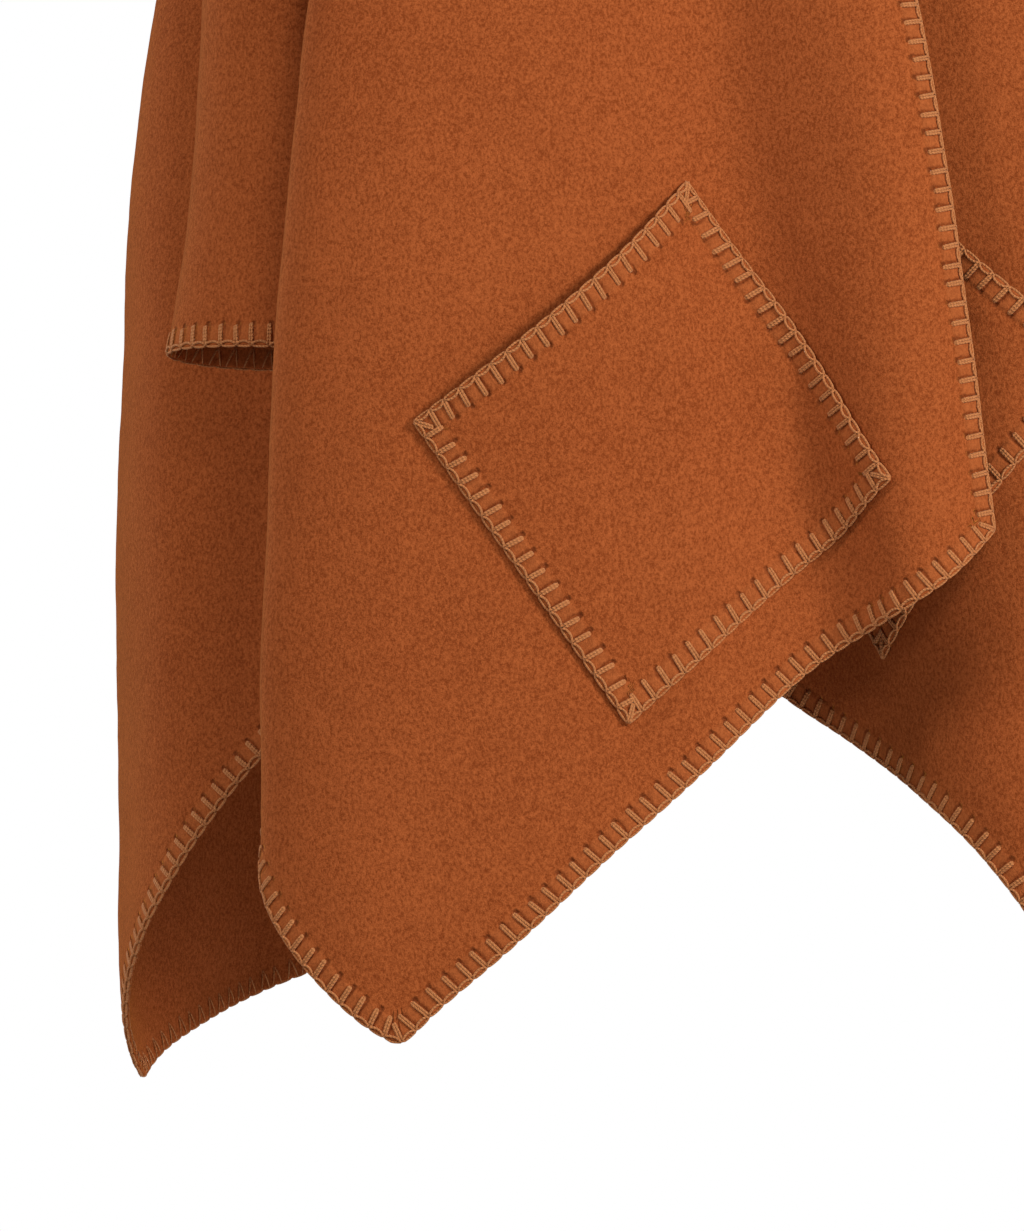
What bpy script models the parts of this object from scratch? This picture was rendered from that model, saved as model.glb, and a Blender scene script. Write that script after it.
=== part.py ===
"""Wrap cloak with sleeves and two patch pockets set on point, hollow, as it hangs when worn.

Metres, +Z up. The origin is at the top of the shoulders, midway across the neck opening.
The front faces -Y, and the wearer's right side is at -X. Each cloth piece is a thin closed wall.
"""

import math
from collections import namedtuple

import bpy
import numpy as np
from mathutils import Vector
from mathutils.bvhtree import BVHTree

# Cloth, seams and the clearances between pieces
WALL = 0.0026
SEAM_GAP = 0.0005
ARMHOLE_GAP = 0.0013
POCKET_GAP = 0.0012
CLOTH_COLOUR = (0.33, 0.075, 0.017, 1.0)
CLOTH_ROUGHNESS = 0.9

# Heights of the plan sections that shape the body of the cloak
CHEST_Z = -0.30
ELBOW_Z = -0.45
LOW_Z = -0.98

# Neck opening, shoulder line and armhole
NECK_HALF_WIDTH = 0.078
NECK_FRONT_REACH = 0.098
NECK_FRONT_DROP = 0.088
NECK_BACK_REACH = 0.070
NECK_BACK_DROP = 0.014
NECK_WRAP = math.radians(104)
UNDERLAP_INSET = (0.0095, -0.0040)
UNDERLAP_EASE = 0.013
SHOULDER_POINT = (-0.226, 0.004, -0.080)
SHOULDER_BOW = 1.35
UNDERARM = (-0.190, 0.000, -0.272)
ARMHOLE_FRONT_REACH = 0.056
ARMHOLE_BACK_REACH = 0.054
ARMHOLE_CUT_IN = 0.002
SHARPEST_MITRE = 0.85

# The way the cloth leaves the armhole: at the shoulder point, halfway down and at the underarm
FRONT_LEAVES = np.array([(0.80, -1.00, -0.16), (0.04, -0.45, -0.95), (0.0, 0.0, -1.0)])
BACK_LEAVES = np.array([(0.64, 1.00, -0.16), (-0.42, 0.62, -0.90), (0.0, 0.0, -1.0)])

# Plan sections of the wearer's right half and the hem's height, one row for each fold, from the front
# edge to the centre back
Fold = namedtuple("Fold", "name chest_x chest_y elbow_x elbow_y low_x low_y hem_z")
RIGHT_FOLDS = (
    Fold("front edge", 0.062, -0.146, 0.0925, -0.190, 0.150, -0.214, -0.694),
    Fold("edge ridge", 0.045, -0.152, 0.076, -0.198, 0.118, -0.230, -0.716),
    Fold("centre trough", -0.008, -0.147, 0.002, -0.182, 0.060, -0.212, -0.759),
    Fold("pocket plain", -0.070, -0.150, -0.078, -0.190, -0.058, -0.230, -0.853),
    Fold("front tip", -0.130, -0.145, -0.158, -0.189, -0.181, -0.229, -0.962),
    Fold("front turn", -0.174, -0.138, -0.204, -0.177, -0.2240, -0.2150, -0.930),
    Fold("front fold", -0.208, -0.115, -0.235, -0.150, -0.2560, -0.182, -0.872),
    Fold("front tuck", -0.194, -0.082, -0.206, -0.120, -0.2220, -0.143, -0.812),
    Fold("side valley", -0.172, -0.012, -0.162, -0.052, -0.205, -0.093, -0.765),
    Fold("under arm", -0.196, 0.048, -0.217, 0.020, -0.250, -0.052, -0.798),
    Fold("side face", -0.240, 0.080, -0.287, 0.044, -0.308, -0.004, -0.879),
    Fold("back fold", -0.292, 0.102, -0.3237, 0.080, -0.3325, 0.048, -0.935),
    Fold("back corner", -0.296, 0.122, -0.3275, 0.125, -0.3410, 0.108, -0.9975),
    Fold("back turn", -0.262, 0.142, -0.294, 0.172, -0.306, 0.172, -0.971),
    Fold("back ridge", -0.185, 0.141, -0.208, 0.197, -0.238, 0.238, -0.941),
    Fold("back trough", -0.095, 0.128, -0.105, 0.170, -0.120, 0.200, -0.878),
    Fold("centre back", 0.000, 0.132, 0.000, 0.188, 0.000, 0.234, -0.772),
)
# The left front lies under the right one, so its first rows are its own; the rest mirror the right half
LEFT_UNDERLAP = (
    Fold("front edge", -0.062, -0.130, -0.0925, -0.168, -0.150, -0.085, -0.680),
    Fold("edge ridge", -0.045, -0.134, -0.066, -0.170, -0.100, -0.075, -0.702),
    Fold("centre trough", 0.008, -0.134, 0.004, -0.164, 0.010, -0.045, -0.772),
    Fold("pocket plain", 0.070, -0.133, 0.078, -0.167, 0.106, -0.180, -0.842),
    Fold("front tip", 0.130, -0.140, 0.162, -0.180, 0.184, -0.225, -0.958),
)
# How far each fold of the left half stands off from the mirror image: x, y, and z at the hem
LEFT_SHIFT = {"front fold": (0.006, 0.004, 0.0), "side valley": (-0.004, 0.005, 0.0),
              "back fold": (0.004, -0.006, 0.0), "back turn": (0.003, 0.004, 0.0),
              "back ridge": (-0.010, -0.004, 0.010), "back trough": (0.008, 0.004, 0.046)}
HEM_POINTS = ("R front tip", "R back corner", "L back corner", "L front tip")
# How far the right front's hem hangs below the line through its folds, beside its point
HEM_BELLY = 0.0045
# The back's two points curl in towards the middle below this height
CURL_Z = -0.930
CURL_AT_TIP = 0.0125
CURL_WIDTH = 0.080

# Patch pocket: a rhombus on point, its centre and turn as seen from the front
POCKET_HALF_WIDTH = 0.1285
POCKET_HALF_HEIGHT = 0.1429
POCKET_TURN = math.radians(6.6)
POCKET_CENTRES = {"right": (-0.0475, -0.6527), "left": (0.0630, -0.6190)}
POCKET_GAPE = 0.0030

# Sleeve: the flattened ring at its hem, how that is turned in plan, and the way the arm leads it there
CUFF_CENTRE = (-0.2585, -0.078, -0.600)
CUFF_HALF_WIDTH = 0.056
CUFF_HALF_DEPTH = 0.030
CUFF_TURN = math.radians(35)
CUFF_FRONT_RISE = 0.0055

# How the yoke evens out between its held edges
SETTLE_STEPS = 6
SETTLE_RATE = 0.8
FULL_SETTLE_FALL = 0.20
BELOW_CHEST = 0.045

# Grid steps
COLUMN_STEP = 0.018
YOKE_ROWS = 6
SKIRT_ROWS = 12
SLEEVE_ROWS = 13
POCKET_CELLS = 12
POCKET_SCAN = 80


def smooth_through(knots, values):
    """A natural cubic spline through values at knots, as a function of the knot parameter."""
    knots = np.asarray(knots, float)
    values = np.asarray(values, float)
    count = len(knots)
    gaps = np.diff(knots)
    matrix = np.eye(count)
    right_side = np.zeros_like(values)
    for i in range(1, count - 1):
        matrix[i, i - 1] = gaps[i - 1]
        matrix[i, i] = 2 * (gaps[i - 1] + gaps[i])
        matrix[i, i + 1] = gaps[i]
        right_side[i] = 6 * ((values[i + 1] - values[i]) / gaps[i]
                             - (values[i] - values[i - 1]) / gaps[i - 1])
    bends = np.linalg.solve(matrix, right_side)

    def at(t):
        i = int(np.clip(np.searchsorted(knots, t) - 1, 0, count - 2))
        gap = gaps[i]
        a = (knots[i + 1] - t) / gap
        b = (t - knots[i]) / gap
        curve = (a ** 3 - a) * bends[i] + (b ** 3 - b) * bends[i + 1]
        return a * values[i] + b * values[i + 1] + curve * gap * gap / 6

    return at


def hermite(start, start_slope, end, end_slope, share):
    """The cubic that leaves start and reaches end with the given slopes."""
    s2 = share * share
    s3 = s2 * share
    return ((2 * s3 - 3 * s2 + 1) * start + (s3 - 2 * s2 + share) * start_slope
            + (3 * s2 - 2 * s3) * end + (s3 - s2) * end_slope)


def left_folds():
    """Rows of the wearer's left half, from the centre back to its front edge, without the centre row."""
    rows = []
    for fold in reversed(RIGHT_FOLDS[len(LEFT_UNDERLAP):-1]):
        shift_x, shift_y, shift_z = LEFT_SHIFT.get(fold.name, (0.0, 0.0, 0.0))
        rows.append(Fold(fold.name, -fold.chest_x + shift_x / 2, fold.chest_y + shift_y / 2,
                         -fold.elbow_x + shift_x, fold.elbow_y + shift_y,
                         -fold.low_x + shift_x, fold.low_y + shift_y, fold.hem_z + shift_z))
    return rows + list(reversed(LEFT_UNDERLAP))


class CloakForm:
    """The mid-surface of the whole body of the cloak, from the right front edge round to the left one."""

    def __init__(self):
        left = left_folds()
        folds = list(RIGHT_FOLDS) + left
        names = ["R " + fold.name for fold in RIGHT_FOLDS] + ["L " + fold.name for fold in left]
        chest = np.array([(fold.chest_x, fold.chest_y) for fold in folds])
        elbow = np.array([(fold.elbow_x, fold.elbow_y) for fold in folds])
        low = np.array([(fold.low_x, fold.low_y) for fold in folds])
        steps = np.linalg.norm(np.diff(elbow, axis=0), axis=1)
        self.knots = np.concatenate([[0.0], np.cumsum(steps)])
        self.knot_of = dict(zip(names, self.knots))
        self.chest = smooth_through(self.knots, chest)
        self.elbow = smooth_through(self.knots, elbow)
        self.low = smooth_through(self.knots, low)
        corners = [self.knots[0]] + [self.knot_of[name] for name in HEM_POINTS] + [self.knots[-1]]
        heights = np.array([fold.hem_z for fold in folds])
        self.hem_edges = []
        for start, end in zip(corners[:-1], corners[1:]):
            held = (self.knots >= start) & (self.knots <= end)
            self.hem_edges.append((end, smooth_through(self.knots[held], heights[held])))
        self.neck_end = {
            "R": self.between("R centre trough", "R pocket plain", 0.90),
            "L": self.between("L centre trough", "L pocket plain", 0.90),
            "RB": self.between("R back trough", "R centre back", 0.10),
            "LB": self.between("L back trough", "R centre back", 0.10),
        }
        self.shoulder_end = {
            "R": self.between("R front tip", "R front fold", 0.55),
            "L": self.between("L front tip", "L front fold", 0.55),
            "RB": self.between("R back turn", "R back ridge", 0.55),
            "LB": self.between("L back turn", "L back ridge", 0.55),
        }

        self.breaks = self.column_breaks()
        self.settle_yoke()

    def column_breaks(self):
        """Knots and seam ends in order, without a knot that lies close to a seam end."""
        ends = sorted(list(self.neck_end.values()) + list(self.shoulder_end.values()))
        knots = [k for k in self.knots if min(abs(k - e) for e in ends) > COLUMN_STEP / 3]
        return sorted(knots + ends)

    def between(self, first, second, share):
        return self.knot_of[first] * (1 - share) + self.knot_of[second] * share

    def skirt(self, t, z):
        """A point of the hanging part, below the chest section."""
        chest, elbow, low = self.chest(t), self.elbow(t), self.low(t)
        upper, lower = ELBOW_Z - CHEST_Z, LOW_Z - ELBOW_Z
        slope = 0.5 * ((elbow - chest) / upper + (low - elbow) / lower)
        if z > ELBOW_Z:
            start_slope = (elbow - chest) / upper
            plan = hermite(chest, start_slope * upper, elbow, slope * upper, (z - CHEST_Z) / upper)
        else:
            end_slope = 0.3 * (low - elbow) / lower
            plan = hermite(elbow, slope * lower, low, end_slope * lower, (z - ELBOW_Z) / lower)
        return np.array([plan[0] + self.curl(t, z), plan[1], z])

    def curl(self, t, z):
        """How far a back point has curled in at height z."""
        if z > CURL_Z:
            return 0.0
        side = "R" if t < self.knot_of["R centre back"] else "L"
        off = (t - self.knot_of[side + " back corner"]) / CURL_WIDTH
        depth = (CURL_Z - z) / (CURL_Z + 0.997)
        return (1 if side == "R" else -1) * CURL_AT_TIP * depth ** 2 * math.exp(-off * off)

    def top_kind(self, t):
        """Which top edge a column starts at, on which side, before or behind the arm, and how far along it."""
        side = "R" if t <= self.knot_of["R centre back"] else "L"
        valley = self.knot_of[side + " side valley"]
        is_back = t > valley + 1e-9 if side == "R" else t < valley - 1e-9
        open_end = self.knot_of["R centre back"] if is_back else self.knot_of[side + " front edge"]
        neck = self.neck_end[side + ("B" if is_back else "")]
        shoulder = self.shoulder_end[side + ("B" if is_back else "")]
        if (t - neck) * (open_end - neck) > 1e-9:
            return "neck", side, is_back, (t - neck) / (open_end - neck)
        if (t - shoulder) * (neck - shoulder) > 1e-9:
            return "shoulder", side, is_back, (t - neck) / (shoulder - neck)
        return "armhole", side, is_back, (t - shoulder) / (valley - shoulder)

    def top(self, t):
        """The top edge at t and the way the cloth leaves it."""
        kind, side, is_back, share = self.top_kind(t)
        edge = {"neck": neckline, "shoulder": shoulder_seam, "armhole": armhole}[kind]
        point, leave = edge(share, is_back)
        if side == "L":
            point, leave = point * (-1, 1, 1), leave * (-1, 1, 1)
            if kind == "neck" and not is_back:
                point = point + min(1, 2 * share) * np.array((0.0, *UNDERLAP_INSET))
        return point, leave

    def armhole_shares(self, side, is_back):
        """How far along the armhole each column of the panel starts, from the shoulder to the underarm."""
        shoulder, valley = self.shoulder_end[side + ("B" if is_back else "")], self.knot_of[side + " side valley"]
        low, high = min(shoulder, valley), max(shoulder, valley)
        columns = columns_between(self, low, high)
        return sorted((t - shoulder) / (valley - shoulder) for t in columns)

    def armhole_mitre(self, side, is_back, share):
        """The wall direction shared by panel and sleeve at their seam, longer where they meet at an angle."""
        shoulder, valley = self.shoulder_end[side + ("B" if is_back else "")], self.knot_of[side + " side valley"]
        panel = self.out(shoulder + (valley - shoulder) * share, 0)
        sleeve = sleeve_out(2 * math.pi - math.pi * share if is_back else math.pi * share, 0)
        if side == "L":
            sleeve = sleeve * (-1, 1, 1)
        mitre = panel + sleeve
        mitre = mitre / np.linalg.norm(mitre)
        return mitre / max(SHARPEST_MITRE, float(mitre @ panel))

    def free_yoke(self, t, share):
        """A point between the top edge and the chest section, before neighbouring columns even out."""
        point, leave = self.top(t)
        plan = self.chest(t)
        end = np.array([plan[0], plan[1], CHEST_Z])
        fall = point[2] - CHEST_Z
        flare = (self.elbow(t) - plan) / (CHEST_Z - ELBOW_Z)
        reach = np.linalg.norm(end - point)
        end_slope = np.array([flare[0], flare[1], -1.0]) * fall
        made = hermite(point, leave * reach, end, end_slope, share)
        inside = np.clip((t - self.knot_of["L front tip"]) / (self.neck_end["L"] - self.knot_of["L front tip"]), 0, 1)
        made[1] += UNDERLAP_EASE * math.sin(math.pi * share) * inside
        return made

    def settle_yoke(self):
        """Even out the yoke between its held edges, as cloth does, and keep each row as a spline."""
        columns = columns_between(self, self.knots[0], self.knots[-1])
        shares = [r / YOKE_ROWS for r in range(YOKE_ROWS + 1)]
        net = np.array([[self.free_yoke(t, share) for t in columns] for share in shares])
        falls = np.array([self.top(t)[0][2] - CHEST_Z for t in columns])[None, 1:-1, None]
        rates = SETTLE_RATE * np.clip(falls / FULL_SETTLE_FALL, 0, 1) ** 2
        rates = rates * (1 - np.array(shares)[1:-1, None, None] ** 2)
        for _ in range(SETTLE_STEPS):
            beside = (net[1:-1, 2:] + net[1:-1, :-2]) / 2
            net[1:-1, 1:-1] += rates * (beside - net[1:-1, 1:-1])
        below = np.array([self.skirt(t, CHEST_Z - BELOW_CHEST) for t in columns])
        self.yoke_shares = shares
        self.yoke_rows = [smooth_through(columns, row) for row in list(net[1:]) + [below]]

    def yoke(self, t, share):
        """A point between the top edge and the chest section."""
        start = self.top(t)[0]
        points = [start] + [row(t) for row in self.yoke_rows]
        below = 1 + BELOW_CHEST / (start[2] - CHEST_Z)
        return smooth_through(self.yoke_shares + [below], points)(share)

    def hem(self, t):
        """Height of the hem at t: smooth cut edges that meet at the points that hang lowest."""
        for end, edge in self.hem_edges:
            if t <= end:
                break
        return float(edge(t)) - self.belly(t)

    def belly(self, t):
        """The extra length of the right front's hem between its pocket and its point."""
        start, end = self.knot_of["R pocket plain"], self.knot_of["R front tip"]
        return HEM_BELLY * math.sin(math.pi * np.clip((t - start) / (end - start), 0, 1)) ** 2

    def at(self, t, row):
        """A point of the cloth: row 0 is the top edge, 1 the chest section and 2 the hem."""
        if row <= 1:
            return self.yoke(t, row)
        z = CHEST_Z + (self.hem(t) - CHEST_Z) * (row - 1)
        return self.skirt(t, z)

    def out(self, t, row):
        """The outward normal of the cloth."""
        across, down = 0.0015, 0.01
        first, last = self.knots[0], self.knots[-1]
        low_t, high_t = max(first, t - across), min(last, t + across)
        low_row, high_row = max(0.0, row - down), min(2.0, row + down)
        z_low, z_high = self.at(t, low_row), self.at(t, high_row)
        if row <= 1:
            side = self.at(high_t, row) - self.at(low_t, row)
        else:
            z = self.at(t, row)[2]
            side = self.skirt(high_t, z) - self.skirt(low_t, z)
        normal = np.cross(side, z_high - z_low)
        return normal / np.linalg.norm(normal)


def neckline(share, is_back):
    """Share 0 is where the neckline meets the shoulder seam, 1 the front edge or the centre back."""
    turn = share * (math.pi / 2 if is_back else NECK_WRAP)
    reach = NECK_BACK_REACH if is_back else -NECK_FRONT_REACH
    drop = NECK_BACK_DROP if is_back else NECK_FRONT_DROP
    point = np.array([-NECK_HALF_WIDTH * math.cos(turn), reach * math.sin(turn), -drop * (1 - math.cos(turn))])
    forward = 1.0 if is_back else -1.0
    leave = np.array([-0.12 * math.cos(turn) + 0.10 * math.sin(turn), forward * (0.80 - 0.42 * math.sin(turn)),
                      -0.12 - 0.62 * math.sin(turn)])
    return point, leave


def shoulder_seam(share, is_back):
    """Share 0 is at the neck and 1 at the shoulder point."""
    end_x, end_y, end_z = SHOULDER_POINT
    point = np.array([-NECK_HALF_WIDTH + (end_x + NECK_HALF_WIDTH) * share, end_y * share,
                      end_z * share ** SHOULDER_BOW])
    forward = 1.0 if is_back else -1.0
    leave = np.array([-0.12 * (1 - share) ** 2 + 0.20 * share ** 2, forward * (0.80 + 0.22 * share),
                      -0.12 - 0.10 * share])
    return point, leave


def armhole(share, is_back):
    """Share 0 is the shoulder point and 1 the underarm point."""
    turn = share * math.pi
    top, bottom = np.array(SHOULDER_POINT), np.array(UNDERARM)
    blend = (1 - math.cos(turn)) / 2
    reach = ARMHOLE_BACK_REACH if is_back else -ARMHOLE_FRONT_REACH
    point = top + (bottom - top) * blend
    point = point + np.array([ARMHOLE_CUT_IN, reach, 0.0]) * math.sin(turn)
    at_top, at_side, at_foot = BACK_LEAVES if is_back else FRONT_LEAVES
    leave = (1 - blend) ** 2 * at_top + 2 * blend * (1 - blend) * at_side + blend ** 2 * at_foot
    return point, leave


def wall_mesh(mid, outward, wrap=False):
    """A closed wall of the cloth's thickness on a grid of mid-surface points: rows run down, columns across."""
    rows, columns, _ = mid.shape
    middle = rows // 2
    facing = np.cross(mid[middle + 1, 0] - mid[middle, 0], mid[middle, 1] - mid[middle, 0])
    if facing @ outward[middle, 0] < 0:
        mid, outward = mid[:, ::-1], outward[:, ::-1]
    outer, inner = mid + outward * WALL / 2, mid - outward * WALL / 2
    points = np.concatenate([outer.reshape(-1, 3), inner.reshape(-1, 3)])
    base = rows * columns
    faces = []
    spans = columns if wrap else columns - 1
    for r in range(rows - 1):
        for c in range(spans):
            a, b = r * columns + c, r * columns + (c + 1) % columns
            d, e = a + columns, b + columns
            faces.append((a, d, e, b))
            faces.append((base + a, base + b, base + e, base + d))
    for c in range(spans):
        for r, is_top in ((0, True), (rows - 1, False)):
            a, b = r * columns + c, r * columns + (c + 1) % columns
            face = (a, b, base + b, base + a)
            faces.append(face if is_top else face[::-1])
    if not wrap:
        for r in range(rows - 1):
            for c, is_first in ((0, True), (columns - 1, False)):
                a, d = r * columns + c, (r + 1) * columns + c
                face = (a, base + a, base + d, d)
                faces.append(face if is_first else face[::-1])
    return points, faces


def add_piece(name, points, faces, material):
    """One named object from points and faces, shaded smooth over its gentle folds."""
    mesh = bpy.data.meshes.new(name)
    mesh.from_pydata([tuple(p) for p in points], [], faces)
    mesh.validate()
    piece = bpy.data.objects.new(name, mesh)
    bpy.context.scene.collection.objects.link(piece)
    mesh.materials.append(material)
    mesh.shade_smooth()
    mesh.set_sharp_from_angle(angle=math.radians(50))
    return piece


def columns_between(form, start, end):
    """Column parameters from start to end, with one on every fold, hem tip and seam end between them."""
    stops = [start] + [k for k in form.breaks if start + 1e-6 < k < end - 1e-6] + [end]
    columns = []
    for a, b in zip(stops[:-1], stops[1:]):
        count = max(2, round((b - a) / COLUMN_STEP))
        columns += [a + (b - a) * i / count for i in range(count)]
    return columns + [end]


def body_panel(form, side_seams, start, end):
    """Mid-surface points and wall directions of one panel, between two column parameters."""
    columns = columns_between(form, start, end)
    rows = [i / YOKE_ROWS for i in range(YOKE_ROWS)] + [1 + i / SKIRT_ROWS for i in range(SKIRT_ROWS + 1)]
    mid = np.array([[form.at(t, row) for t in columns] for row in rows])
    outward = np.array([[form.out(t, row) for t in columns] for row in rows])
    for c, t in enumerate(columns):
        kind, side, is_back, share = form.top_kind(t)
        if kind == "armhole":
            outward[0, c] = form.armhole_mitre(side, is_back, share)
        if kind == "shoulder" or (kind == "armhole" and share < 1e-6):
            outward[0, c, 1] = 0.0
            outward[0, c] /= np.linalg.norm(outward[0, c])
            mid[0, c, 1] += SEAM_GAP / 2 if is_back else -SEAM_GAP / 2
    for c, beside in ((0, 1), (len(columns) - 1, -2)):
        if any(abs(columns[c] - seam) < 1e-9 for seam in side_seams):
            across = (mid[:, beside] - mid[:, c]) * (1, 1, 0)
            mid[:, c] += across / np.linalg.norm(across, axis=1)[:, None] * SEAM_GAP / 2
    return mid, outward


def sleeve_form(form, side):
    """Mid-surface points and wall directions of a sleeve: a tube from the armhole to its hem ring."""
    turns = [math.pi * share for share in form.armhole_shares(side, False)]
    turns += [2 * math.pi - math.pi * share for share in reversed(form.armhole_shares(side, True)[1:-1])]
    shares = [i / SLEEVE_ROWS for i in range(SLEEVE_ROWS + 1)]
    mid = np.array([[sleeve_point(turn, share) for turn in turns] for share in shares])
    outward = np.array([[sleeve_out(turn, share) for turn in turns] for share in shares])
    if side == "L":
        mid, outward = mid * (-1, 1, 1), outward * (-1, 1, 1)
    for c, turn in enumerate(turns):
        is_back = turn > math.pi + 1e-9
        share = 2 - turn / math.pi if is_back else turn / math.pi
        outward[0, c] = form.armhole_mitre(side, is_back, share)
        if share < 1e-6:
            outward[0, c, 1] = 0.0
            outward[0, c] /= np.linalg.norm(outward[0, c])
    travel = mid[1] - mid[0]
    edge = outward[0] / np.linalg.norm(outward[0], axis=1)[:, None]
    away = travel - np.sum(travel * edge, axis=1)[:, None] * edge
    mid[0] += away / np.linalg.norm(away, axis=1)[:, None] * ARMHOLE_GAP
    return mid, outward


def sleeve_point(turn, share):
    """A point of the right sleeve: turn 0 is its top line, a quarter turn its front, half a turn its seam."""
    is_back = turn > math.pi
    top, _ = armhole(2 - turn / math.pi if is_back else turn / math.pi, is_back)
    lift, ahead = math.cos(turn), math.sin(turn)
    under = (1 - lift) / 2
    along = np.array([math.cos(CUFF_TURN), -math.sin(CUFF_TURN), 0.0])
    facing = np.array([-math.sin(CUFF_TURN), -math.cos(CUFF_TURN), 0.0])
    cuff = np.array(CUFF_CENTRE) - along * CUFF_HALF_WIDTH * lift + facing * CUFF_HALF_DEPTH * ahead
    cuff[2] += CUFF_FRONT_RISE * ahead
    leave = np.array([-0.92 + 0.17 * under, -0.22 * ahead, -0.42 - 0.13 * under])
    reach = 0.26 * (1 - under) + 0.12 * under
    arrive = np.array([-0.085, -0.040, -0.46 + 0.10 * under])
    return hermite(top, leave * reach, cuff, arrive, share)


def sleeve_out(turn, share):
    """The outward normal of the right sleeve."""
    turn_step, share_step = 0.01, 0.004
    full = 2 * math.pi
    around = sleeve_point((turn + turn_step) % full, share) - sleeve_point((turn - turn_step) % full, share)
    down = sleeve_point(turn, min(1, share + share_step)) - sleeve_point(turn, max(0, share - share_step))
    normal = np.cross(down, around)
    return normal / np.linalg.norm(normal)


def pocket_form(form, side, panel):
    """Mid-surface points and wall directions of a patch pocket, laid on the front panel's outer face."""
    tree = BVHTree.FromPolygons([tuple(v.co) for v in panel.data.vertices],
                                [tuple(p.vertices) for p in panel.data.polygons])
    mirror = 1 if side == "right" else -1
    centre_x, centre_z = POCKET_CENTRES[side]
    first, last = form.knot_of[side[0].upper() + " front edge"], form.knot_of[side[0].upper() + " front turn"]
    scan = np.linspace(min(first, last), max(first, last), POCKET_SCAN)
    size = POCKET_CELLS + 1
    mid, outward = np.zeros((size, size, 3)), np.zeros((size, size, 3))
    for r in range(size):
        for c in range(size):
            a, b = 2 * c / POCKET_CELLS - 1, 2 * r / POCKET_CELLS - 1
            across = (a - b) / 2 * POCKET_HALF_WIDTH * mirror
            up = -(a + b) / 2 * POCKET_HALF_HEIGHT
            turn = -POCKET_TURN * mirror
            along = across * math.cos(turn) - up * math.sin(turn)
            z = centre_z + across * math.sin(turn) + up * math.cos(turn)
            t = column_at(form, scan, centre_x, along, z)
            point, normal = form.skirt(t, z), form.out(t, 1 + (z - CHEST_Z) / (form.hem(t) - CHEST_Z))
            start = point + normal * 0.02
            hit, _, _, _ = tree.ray_cast(Vector(start), Vector(-normal))
            gape = POCKET_GAPE * (1 - b * b) * ((1 - a) / 2) ** 2
            mid[r, c] = np.array(hit) + normal * (WALL / 2 + POCKET_GAP + gape)
            outward[r, c] = normal
    return mid, outward


def column_at(form, scan, centre_x, along, z):
    """The column that lies a distance along the cloth from the one at centre_x, at height z."""
    points = np.array([form.skirt(t, z)[:2] for t in scan])
    lengths = np.concatenate([[0.0], np.cumsum(np.linalg.norm(np.diff(points, axis=0), axis=1))])
    rising = np.sign(points[-1, 0] - points[0, 0])
    centre = np.interp(centre_x * rising, points[:, 0] * rising, lengths)
    return float(np.interp(centre + along * rising, lengths, scan))


def cloth_material():
    material = bpy.data.materials.new("felted_wool")
    material.use_nodes = True
    shader = material.node_tree.nodes["Principled BSDF"]
    shader.inputs["Base Color"].default_value = CLOTH_COLOUR
    shader.inputs["Roughness"].default_value = CLOTH_ROUGHNESS
    shader.inputs["Metallic"].default_value = 0.0
    return material


def build():
    for old in list(bpy.data.objects):
        bpy.data.objects.remove(old)
    material = cloth_material()
    form = CloakForm()
    side_seams = (form.knot_of["R side valley"], form.knot_of["L side valley"])
    panels = {
        "front_right": (form.knots[0], side_seams[0]),
        "back": side_seams,
        "front_left": (side_seams[1], form.knots[-1]),
    }
    made = {}
    for name, (start, end) in panels.items():
        mid, outward = body_panel(form, side_seams, start, end)
        made[name] = add_piece(name, *wall_mesh(mid, outward), material)
    for side in ("right", "left"):
        mid, outward = sleeve_form(form, side[0].upper())
        add_piece("sleeve_" + side, *wall_mesh(mid, outward, wrap=True), material)
        mid, outward = pocket_form(form, side, made["front_" + side])
        add_piece("pocket_" + side, *wall_mesh(mid, outward), material)


build()
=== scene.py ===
"""Looks of the wrap cloak: felted wool panels, sleeves and patch pockets, sewn round with blanket stitch.

Metres, +Z up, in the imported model's frame. The front faces -Y and the wearer's right side is at -X.
"""

import math
from collections import namedtuple

import bpy
import numpy as np
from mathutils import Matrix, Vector, kdtree, noise
from mathutils.bvhtree import BVHTree


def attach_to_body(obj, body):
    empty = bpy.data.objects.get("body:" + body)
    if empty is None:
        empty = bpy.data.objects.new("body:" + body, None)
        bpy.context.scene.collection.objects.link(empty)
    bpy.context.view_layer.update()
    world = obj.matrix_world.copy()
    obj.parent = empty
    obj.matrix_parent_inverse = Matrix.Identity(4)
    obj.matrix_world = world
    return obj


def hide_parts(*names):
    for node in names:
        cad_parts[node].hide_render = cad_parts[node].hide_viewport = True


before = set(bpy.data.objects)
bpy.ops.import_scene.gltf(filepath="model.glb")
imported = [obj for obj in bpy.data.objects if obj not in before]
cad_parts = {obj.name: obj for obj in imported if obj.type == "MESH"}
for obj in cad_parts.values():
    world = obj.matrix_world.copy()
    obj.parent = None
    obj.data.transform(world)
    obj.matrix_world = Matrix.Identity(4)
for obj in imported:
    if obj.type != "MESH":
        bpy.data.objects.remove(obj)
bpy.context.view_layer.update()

# Cloth and its clearances
WALL = 0.0026
POCKET_GAP = 0.0003
COLUMN_STEP = 0.018
YOKE_ROWS = 6

# Heights of the plan sections that shape the body of the cloak
CHEST_Z = -0.3
ELBOW_Z = -0.45
LOW_Z = -0.98

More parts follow.
